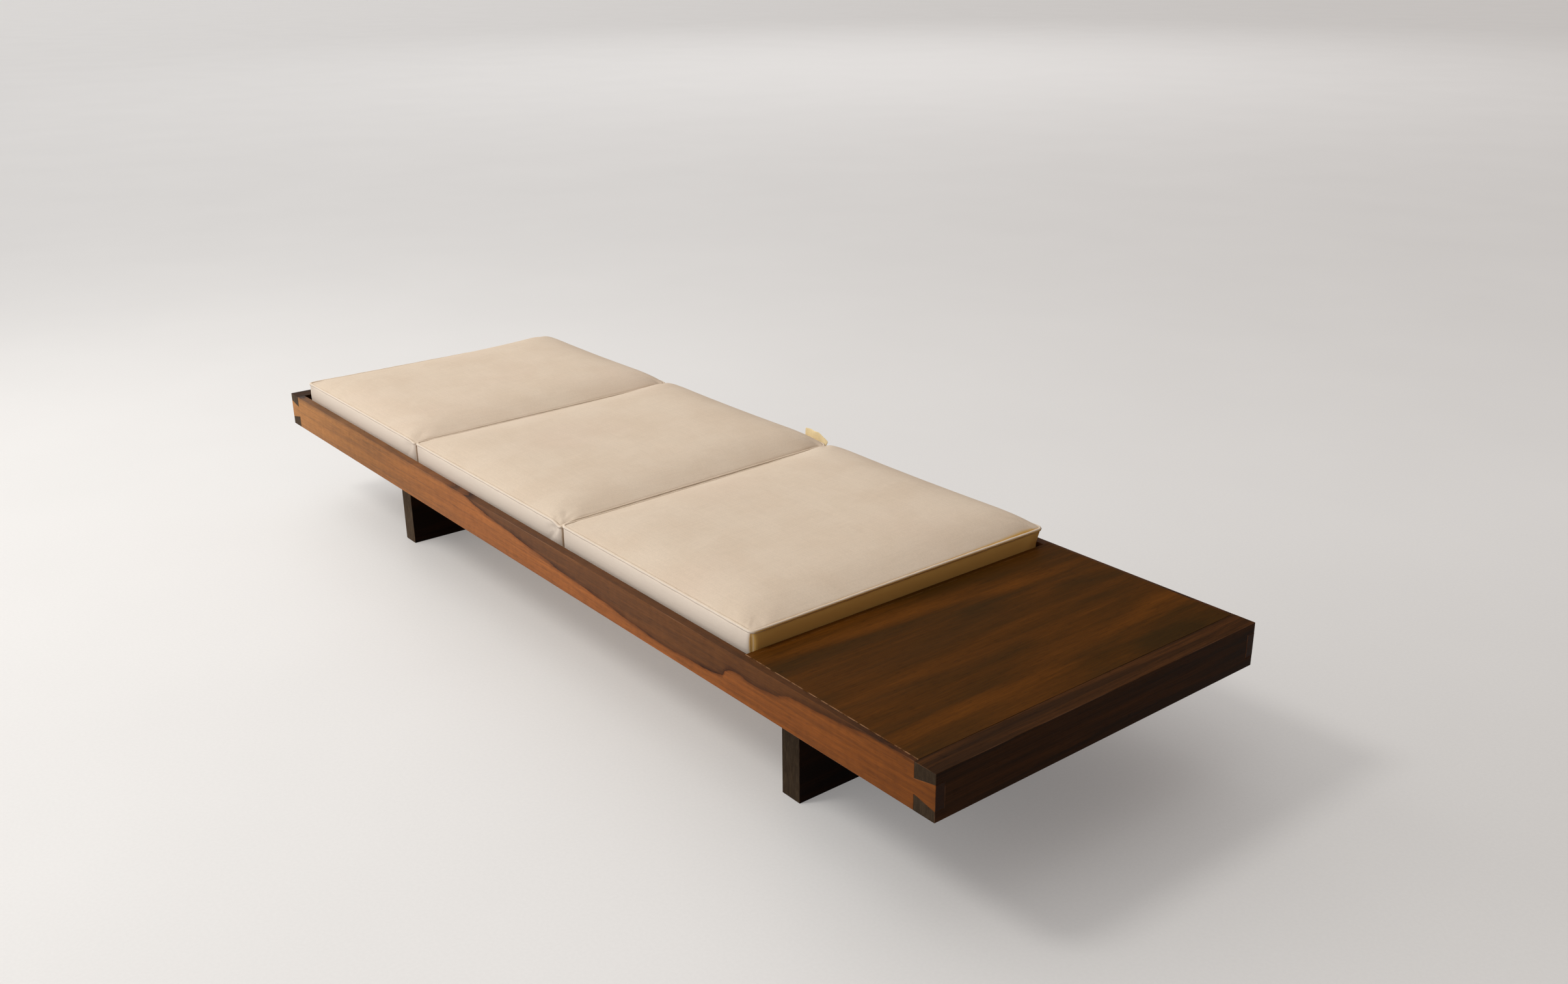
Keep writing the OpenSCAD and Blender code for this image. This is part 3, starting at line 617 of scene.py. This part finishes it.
class Cushion:
    """One box cushion: its outline from the CAD node, and the grid that its cloth is made of."""

    def __init__(self, number):
        self.number = number
        node = NODES[f"cushion_cover_{number}"]
        co = np.array([v.co for v in node.data.vertices])
        self.y0, self.y1 = co[:, 1].min(), co[:, 1].max()
        self.z0 = co[:, 2].min()
        self.seam_z = co[np.abs(co[:, 1] - self.y0) < ON_FACE, 2].max()
        self.turn_y = self.y1 - CORNER_R         # where the straight ends turn into the corners
        front, back = co[co[:, 1] < 0], co[co[:, 1] > 0]
        self.ends = ((front[:, 0].min(), back[:, 0].min()), (front[:, 0].max(), back[:, 0].max()))

    def end_x(self, end, y):
        """X of the head end (0) or the table end (1) of the outline, at some Y."""
        x_front, x_back = self.ends[end]
        return x_front + (x_back - x_front) * (y + self.turn_y) / (2 * self.turn_y)

    def panel(self):
        """The grid of the top panel's points. It keeps how far each is from the nearest side."""
        width = self.y1 - self.y0 - 2 * SEAM_INSET
        length = self.end_x(1, 0) - self.end_x(0, 0) - 2 * SEAM_INSET
        s, t = np.meshgrid(graded(length), graded(width), indexing="ij")
        self.edge = np.minimum(np.minimum(s, length - s), np.minimum(t, width - t)).ravel()
        crown = START_CROWN * (1 + BACK_CROWN * (t / width) ** 3)
        for beside, roll in ((s, CROWN_ROLL), (length - s, CROWN_ROLL), (t, CROWN_ROLL),
                             (width - t, BACK_ROLL)):
            crown = crown * (1 - np.exp(-beside / roll))
        squashed = (s > length / 2) & (t < width / 2) & (self.number < CUSHIONS[-1])
        s, t = corner_discs(s, t, length, width, np.where(squashed, SQUASHED_R, CORNER_R))
        y = self.y0 + SEAM_INSET + t
        share = s / length
        x = (self.end_x(0, y) + SEAM_INSET) * (1 - share) + (self.end_x(1, y) - SEAM_INSET) * share
        return np.stack([x, y, self.seam_z + crown], -1)

    def border_rows(self, seam):
        """The border's rows of points, under the points of the top seam."""
        outward = self.outward(seam)
        rows = []
        for f in BORDER_ROWS:
            row = seam - outward * BORDER_INSET * math.sin(math.pi * f) ** 0.5
            row[:, 2] = self.seam_z + (self.z0 - self.seam_z) * f
            rows.append(row)
        return rows

    def build(self, material):
        """The starting shape as an object, with the indices of its parts kept."""
        panel = self.panel()
        grid = np.arange(panel[..., 0].size).reshape(panel.shape[:2])
        ring = rim_of(grid)
        top = panel.reshape(-1, 3)
        bottom = top.copy()
        bottom[:, 2] = self.z0 + START_LIFT
        rows = self.border_rows(top[ring])
        points = np.concatenate([top, *rows, bottom])
        points[:, 1] += self.lean(points[:, 1], points[:, 2])
        first_row, first_bottom = len(top), len(top) + len(rows) * len(ring)
        self.loops = [ring]
        self.loops += [first_row + k * len(ring) + np.arange(len(ring)) for k in range(len(rows))]
        self.loops.append(first_bottom + ring)
        self.top = grid.ravel()
        self.bottom = first_bottom + self.top
        self.border = np.concatenate(self.loops[1:-1])
        quads = quads_of(grid)
        walls = [np.stack([a, b, np.roll(b, -1), np.roll(a, -1)], -1)
                 for a, b in zip(self.loops, self.loops[1:])]
        faces = np.concatenate([quads, quads[:, ::-1] + first_bottom, *walls])
        self.cloth = mesh_object(f"cushion_{self.number}_cloth", points, faces, material)
        return self.cloth

    def lean(self, y, z):
        """How far a point moves back: the cushion is fuller there, and bulges over the back rail."""
        share = np.clip((y - self.y0) / (self.y1 - self.y0), 0, 1)
        height = np.clip((z - RAIL_TOP - RAIL_CLEAR) / (self.seam_z - RAIL_TOP - RAIL_CLEAR), 0, 1)
        return share**3 * (BACK_FILL + BACK_LEAN * height)

    @staticmethod
    def outward(loop):
        """The level direction out of a closed loop at each of its points."""
        ahead = np.roll(loop, -1, 0) - np.roll(loop, 1, 0)
        out = np.stack([ahead[:, 1], -ahead[:, 0], np.zeros(len(loop))], -1)
        return out / np.linalg.norm(out, axis=1)[:, None]

    def points(self):
        co = np.zeros(len(self.cloth.data.vertices) * 3)
        self.cloth.data.vertices.foreach_get("co", co)
        return co.reshape(-1, 3)

    def blow_up(self):
        """Where the cloth goes under pressure from inside, held back by the foam."""
        o, start = self.cloth, self.points()
        hold = np.full(len(start), FOAM_TOP)
        hold[self.border] = FOAM_BORDER
        hold[self.loops[0]] = FOAM_SEAM
        hold[self.bottom] = 1.0
        group = o.vertex_groups.new(name="foam")
        for weight in np.unique(hold):
            group.add([int(i) for i in np.flatnonzero(hold == weight)], float(weight), "REPLACE")
        cloth = o.modifiers.new("cloth", "CLOTH")
        settings = cloth.settings
        settings.quality, settings.mass = CLOTH_QUALITY, CLOTH_MASS
        settings.use_pressure, settings.uniform_pressure_force = True, PRESSURE
        settings.effector_weights.gravity = 0
        settings.vertex_group_mass = "foam"
        cloth.point_cache.frame_start, cloth.point_cache.frame_end = 1, SIM_FRAMES
        scene = bpy.context.scene
        for f in range(1, SIM_FRAMES + 1):
            scene.frame_set(f)
        swollen = o.evaluated_get(bpy.context.evaluated_depsgraph_get()).data
        co = np.zeros(len(start) * 3)
        swollen.vertices.foreach_get("co", co)
        scene.frame_set(1)
        o.modifiers.remove(cloth)
        o.vertex_groups.remove(group)
        moved = co.reshape(-1, 3) - start
        far = np.linalg.norm(moved, axis=1)[:, None] + 1e-9
        return start + moved / far * MOVE_CAP * np.tanh(far / MOVE_CAP)

    def stay_in_place(self, co):
        """Keeps the cloth off the neighbouring cushions, the end rails and the deck."""
        y = co[:, 1]
        co[:, 0] = np.clip(co[:, 0], self.end_x(0, y) + NEIGHBOUR_GAP, self.end_x(1, y) - NEIGHBOUR_GAP)
        co[:, 2] = np.maximum(co[:, 2], self.z0 + DECK_GAP)

    def store(self, co):
        self.cloth.data.vertices.foreach_set("co", co.astype(np.float32).ravel())
        self.cloth.data.update()


# ---- creases at the cushions' corners ----

PINCH_REACH = 0.018                      # how far from a corner it is pulled down, in metres
CORNER_BULGE = 0.0070                    # of such a corner into the gap beside its neighbour's
CREASE_W, CREASE_SPREAD, CREASE_RIDGE = 0.0042, 0.005, 0.4       # at its start, its growth, its ridges
BORDER_FOLDS, FOLD_REACH, FOLD_W = (0.35, 0.9), 0.055, 0.004     # slopes, length and width of the folds
FOLD_SIDE = 0.008                        # how near to the long side the folds stay
# Each crease is (turn in degrees, length in metres).
SMALL_CREASES = ((-24, 0.05), (4, 0.065), (30, 0.045))
DEEP_CREASES = ((-38, 0.055), (-20, 0.080), (0, 0.090), (20, 0.070), (36, 0.050))
# By cushion, its pinched corners: (end, side, dip, depth, creases) as in pinch().
PINCHES = {
    1: ((1, -1, 0.0018, 0.0016, SMALL_CREASES), (0, -1, 0.0, 0.0008, SMALL_CREASES),
        (1, 1, 0.0015, 0.0010, SMALL_CREASES)),
    2: ((1, -1, 0.0024, 0.0036, DEEP_CREASES), (0, -1, 0.0, 0.0005, SMALL_CREASES),
        (1, 1, 0.0015, 0.0012, SMALL_CREASES), (0, 1, 0.0, 0.0008, SMALL_CREASES)),
    3: ((0, 1, 0.0, 0.0010, SMALL_CREASES), (0, -1, 0.0, 0.0004, SMALL_CREASES)),
}


def crease(cushion, co, corner, a, reach, depth):
    """One crease in the panel, from a corner towards an angle, with a low ridge on each side."""
    flat = co[cushion.top, :2] - corner
    forth = flat @ np.array([math.cos(a), math.sin(a)])
    aside = flat @ np.array([-math.sin(a), math.cos(a)])
    along_it = np.clip(forth / reach, 0, 1)
    fade = np.sin(math.pi * np.sqrt(along_it)) ** 2
    width = CREASE_W + CREASE_SPREAD * along_it
    co[cushion.top, 2] -= depth * fade * np.exp(-(aside / width) ** 2)
    ridges = np.exp(-((np.abs(aside) - 2 * width) / width) ** 2)
    co[cushion.top, 2] += CREASE_RIDGE * depth * fade * ridges


def pinch(cushion, co, end, side, dip, depth, creases):
    """Pulls one upper corner down by the dip, and makes creases and border folds of the depth that
    run out from it."""
    y_corner = cushion.y0 if side < 0 else cushion.y1
    corner = np.array([cushion.end_x(end, y_corner), y_corner])
    inward = np.array([1.0 if end == 0 else -1.0, -float(side)])
    base = math.atan2(inward[1], inward[0])
    near = np.exp(-(np.linalg.norm(co[:, :2] - corner, axis=1) / PINCH_REACH) ** 2)
    height = np.clip((co[:, 2] - cushion.z0) / (cushion.seam_z - cushion.z0), 0, 1)
    co[:, 2] -= dip * near * height**2
    if dip:
        away = ((co[:, 1] - y_corner) / CORNER_BULGE) ** 2 + ((co[:, 0] - corner[0]) / CORNER_R) ** 2
        co[:, 0] -= inward[0] * CORNER_BULGE * np.exp(-away)
    for turn, reach in creases:
        crease(cushion, co, corner, base + math.radians(turn), reach, depth)
    beside = np.abs(co[cushion.border, 0] - corner[0])
    below = cushion.seam_z - co[cushion.border, 2]
    on_side = np.abs(co[cushion.border, 1] - y_corner) < FOLD_SIDE
    for slope in BORDER_FOLDS:
        fade = np.sin(math.pi * np.clip(beside / FOLD_REACH, 0, 1)) * on_side
        fold = np.exp(-((below - slope * beside - FOLD_W) / FOLD_W) ** 2)
        co[cushion.border, 1] -= side * depth * fade * fold


# ---- piping, stitches and zips ----

def resampled(loop, step):
    """A closed loop with its points evenly spaced."""
    closed = np.vstack([loop, loop[:1]])
    gone = np.concatenate([[0], np.cumsum(np.linalg.norm(np.diff(closed, axis=0), axis=1))])
    at = np.linspace(0, gone[-1], round(gone[-1] / step), endpoint=False)
    return np.stack([np.interp(at, gone, closed[:, k]) for k in range(3)], -1)


def smoothed(loop, times):
    for _ in range(times):
        loop = (np.roll(loop, 1, 0) + 2 * loop + np.roll(loop, -1, 0)) / 4
    return loop


def tube(path, radius, closed=False, sides=8, flat=1.0):
    """Points and faces of a tube along a path. The radius is a number or one for each point, and
    flat is its height as a share of its width."""
    path = np.asarray(path, float)
    ahead = (np.roll(path, -1, 0) - np.roll(path, 1, 0)) if closed else np.gradient(path, axis=0)
    ahead /= np.linalg.norm(ahead, axis=1)[:, None]
    level = np.cross(ahead, (0, 0, 1))
    level[np.linalg.norm(level, axis=1) < 1e-3] = (1, 0, 0)
    level /= np.linalg.norm(level, axis=1)[:, None]
    up = np.cross(level, ahead) * flat
    angle = (np.arange(sides) * 2 * math.pi / sides)[None, :, None]
    radius = np.broadcast_to(radius, len(path))[:, None, None]
    points = path[:, None] + radius * (level[:, None] * np.cos(angle) + up[:, None] * np.sin(angle))
    grid = np.arange(len(path) * sides).reshape(len(path), sides)
    around = np.roll(grid, -1, 1)
    faces = np.stack([grid, around, np.roll(around, -1, 0), np.roll(grid, -1, 0)], -1)
    faces = (faces if closed else faces[:-1]).reshape(-1, 4).tolist()
    if not closed:
        faces += [grid[0][::-1].tolist(), grid[-1].tolist()]
    return points.reshape(-1, 3), faces


def turned(start, along_it, radius, shape, sides=8, flat=1.0):
    """A tube from a start along a vector, with a shape like STITCH_SHAPE."""
    path = [start + np.array(along_it) * f for f, _ in shape]
    return tube(path, radius * np.array([share for _, share in shape]), sides=sides, flat=flat)


def joined(shapes):
    """Several shapes, each its points and faces, as one."""
    points, faces, start = [], [], 0
    for some_points, some_faces in shapes:
        points.append(some_points)
        faces += [[i + start for i in face] for face in some_faces]
        start += len(some_points)
    return np.concatenate(points), faces


def welt(cushion, co, row, name, outs, lift, material):
    """Piping along one of the cushion's seams, moved out by one distance on the long sides and by
    another on the ends."""
    ring = cushion.loops[row]
    outward = cushion.outward(co[ring])
    on_end = np.clip(np.abs(outward[:, :1]), 0, 1) ** 2
    loop = co[ring] + outward * (outs[0] + (outs[1] - outs[0]) * on_end)
    loop = resampled(smoothed(loop, 2), WELT_STEP)
    loop[:, 2] += lift
    gone = np.arange(len(loop)) * WELT_STEP
    waves = sum(share * np.sin(gone * pace + start * cushion.number) for share, pace, start in WELT_WAVES)
    shape = tube(loop, WELT_R * (1 + waves), closed=True)
    return mesh_object(f"cushion_{cushion.number}_{name}", *shape, material)


def corner_column(cushion):
    """Which of a loop's points is at the front corner towards the table."""
    ring = cushion.points()[cushion.loops[1]]
    corner = np.array([cushion.end_x(1, cushion.y0), cushion.y0])
    return int(np.argmin(np.linalg.norm(ring[:, :2] - corner, axis=1)))


def seam_thread(cushion, co, material):
    """The row of stitches down the border's corner seam."""
    beside = -1 if cushion.number == CUSHIONS[-1] else 4     # cells from the seam to the stitches
    at = corner_column(cushion) + beside
    column = co[[loop[at] for loop in cushion.loops[1:-1]]]
    out = cushion.outward(co[cushion.loops[LEVEL_ROW]])[at]
    height = np.arange(column[-1, 2] + STITCH_PITCH, column[0, 2], STITCH_PITCH)
    order = np.argsort(column[:, 2])
    spots = np.stack([np.interp(height, column[order, 2], column[order, k]) for k in range(3)], -1)
    spots += out * STITCH_PROUD
    stitches = [turned(p, (0, 0, STITCH_L / 2), STITCH_R, STITCH_SHAPE, sides=6) for p in spots]
    return mesh_object(f"cushion_{cushion.number}_seam_thread", *joined(stitches), material)


def zip_fastener(cushion, co, materials):
    """The zip along the back border: its tape, its teeth, and a slider with a pull."""
    lo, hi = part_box(f"cushion_zip_{cushion.number}")
    z = (lo.z + hi.z) / 2
    row = co[cushion.loops[ZIP_ROW]]
    row = row[row[:, 1] > 0]
    row = row[np.argsort(row[:, 0])]

    def surface(x, proud):
        return np.stack([x, np.interp(x, row[:, 0], row[:, 1]) + proud, np.full(len(x), z)], -1)

    tape_x = np.arange(lo.x - TAPE_SPARE, hi.x + TAPE_SPARE, TAPE_STEP)
    tape = tube(surface(tape_x, TAPE_PROUD), TAPE_T / 2, flat=TAPE_W / TAPE_T)
    places = surface(np.arange(lo.x, hi.x, TOOTH_PITCH), TAPE_T)
    teeth = []
    for k, place in enumerate(places):
        middle = place + (0, 0, TOOTH_L / 4 if k % 2 else -TOOTH_L / 4)
        teeth.append(turned(middle, (0, 0, TOOTH_L / 2), TOOTH_R, TOOTH_SHAPE, sides=6))
    start = places[SLIDER_TOOTH]
    slider = turned(start + (0, SLIDER_R * 0.4, 0), (SLIDER_L, 0, 0), SLIDER_R, SLIDER_SHAPE,
                    flat=SLIDER_FLAT)
    pull = turned(start + (0, SLIDER_R * 1.3, 0), (0, 0, -PULL_L), PULL_R, PULL_SHAPE, flat=PULL_FLAT)
    name = f"cushion_{cushion.number}_zip"
    cloth_part = mesh_object(name + "_tape", *tape, materials["welt"])
    metal_part = mesh_object(name + "_teeth", *joined([*teeth, slider, pull]), materials["brass"])
    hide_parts(f"cushion_zip_{cushion.number}")
    return [cloth_part, metal_part]


def subdivide(o):
    modifier = o.modifiers.new("rounded", "SUBSURF")
    modifier.levels = modifier.render_levels = 1


def sink_seams(cushion, co):
    """Pulls the cloth in at both seams and down the corner seam, where the thread holds it."""
    sunk = co.copy()
    for row, inward, rise in SEAM_PULLS:
        ring = cushion.loops[row]
        sunk[ring] -= cushion.outward(co[ring]) * inward
        sunk[ring, 2] += rise
    first_row = cushion.top[(cushion.edge > 0) & (cushion.edge < 1.5 * EDGE_CELL)]
    sunk[first_row, 2] -= BESIDE_SEAM
    at = corner_column(cushion)
    out = cushion.outward(co[cushion.loops[LEVEL_ROW]])[at]
    for loop in cushion.loops[1:-1]:
        sunk[loop[at]] -= out * GROOVE
    return sunk


# ---- the cushions, put together ----

def make_cushion(number, materials):
    cushion = Cushion(number)
    cloth = cushion.build(materials["canvas"])
    co = cushion.blow_up()
    cushion.stay_in_place(co)
    for end, side, dip, depth, creases in PINCHES[number]:
        pinch(cushion, co, end, side, dip, depth, creases)
    cushion.store(co)
    top_outs, bottom_outs = (TOP_WELT_OUT, TOP_WELT_END_OUT), (BOTTOM_WELT_OUT, BOTTOM_WELT_OUT)
    sewn = [welt(cushion, co, 0, "top_welt", top_outs, TOP_WELT_LIFT, materials["welt"]),
            welt(cushion, co, -1, "bottom_welt", bottom_outs, BOTTOM_WELT_LIFT, materials["welt"])]
    details = [seam_thread(cushion, co, materials["thread"]), *zip_fastener(cushion, co, materials)]
    cushion.store(sink_seams(cushion, co))
    subdivide(cloth)
    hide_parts(f"cushion_cover_{number}", f"cushion_foam_{number}")
    for piece in (cloth, *sewn, *details):
        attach(piece, f"cushion_{number}")
    return cushion


# ---- the flap behind the second cushion ----

FLAP_COLUMNS, FLAP_ROWS = 18, 9
FLAP_TOP = 0.74                          # height of its top edge, as a share of its CAD block
FLAP_SHOULDER, FLAP_TAIL = 0.62, 0.50    # where its top edge begins to fall, and how high it ends
FLAP_THICK, FLAP_THICKER = 0.45, 0.35    # shares of the CAD block: at its top, and more at its foot
FLAP_AWAY, FLAP_CURL, FLAP_RIPPLE = 0.0012, 0.0035, 0.0008       # metres back from the block's front
CURL_WAVE, RIPPLE_WAVES = 9, (17, 4)     # radians over its width, and over its width and height


def flap_outline(share):
    """Height of the flap's top edge, as a share, along its width."""
    fall = np.clip((share - FLAP_SHOULDER) / (1 - FLAP_SHOULDER), 0, 1)
    return 1 - (1 - FLAP_TAIL) * fall


def make_flap(cushion, material):
    """The folded ear of lining cloth behind the second cushion."""
    lo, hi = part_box("cushion_flap_2")
    width, height = hi.x - lo.x, FLAP_TOP * (hi.z - lo.z)
    u, v = np.meshgrid(np.linspace(0, 1, FLAP_COLUMNS), np.linspace(0, 1, FLAP_ROWS), indexing="ij")
    x, z = lo.x + u * width, lo.z + v * height * flap_outline(u)
    thick = (hi.y - lo.y) * (FLAP_THICK + FLAP_THICKER * (1 - v))
    curl = FLAP_CURL * v**2 * (1 + 0.5 * np.sin(CURL_WAVE * u))
    ripple = FLAP_RIPPLE * np.sin(RIPPLE_WAVES[0] * u + RIPPLE_WAVES[1] * v)
    bend = lo.y + FLAP_AWAY + curl + ripple
    bend += cushion.lean(bend, z)
    front, back = (np.stack([x, bend + k * thick, z], -1).reshape(-1, 3) for k in (0, 1))
    grid = np.arange(u.size).reshape(u.shape)
    quads, rim = quads_of(grid), rim_of(grid)
    wall = np.stack([rim, rim + u.size, np.roll(rim, -1) + u.size, np.roll(rim, -1)], -1)
    faces = np.concatenate([quads, quads[:, ::-1] + u.size, wall])
    flap = mesh_object("cushion_2_flap", np.concatenate([front, back]), faces, material)
    subdivide(flap)
    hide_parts("cushion_flap_2")
    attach(flap, "cushion_2")


make_camera()
make_floor()
make_world()
make_lamps()
finish_wood()
MATERIALS = {"canvas": canvas(), "thread": thread("seam_thread", (0.34, 0.17, 0.10)), "brass": zip_brass(),
             "welt": canvas("welt_canvas", (0.69, 0.575, 0.45), (0.65, 0.535, 0.41), painted_light=(0.80, 1.0))}
cushions = [make_cushion(number, MATERIALS) for number in CUSHIONS]
make_flap(cushions[1], canvas("lining", (0.80, 0.66, 0.40), (0.74, 0.59, 0.33), painted_light=None))

bpy.context.scene.view_settings.view_transform = "Standard"
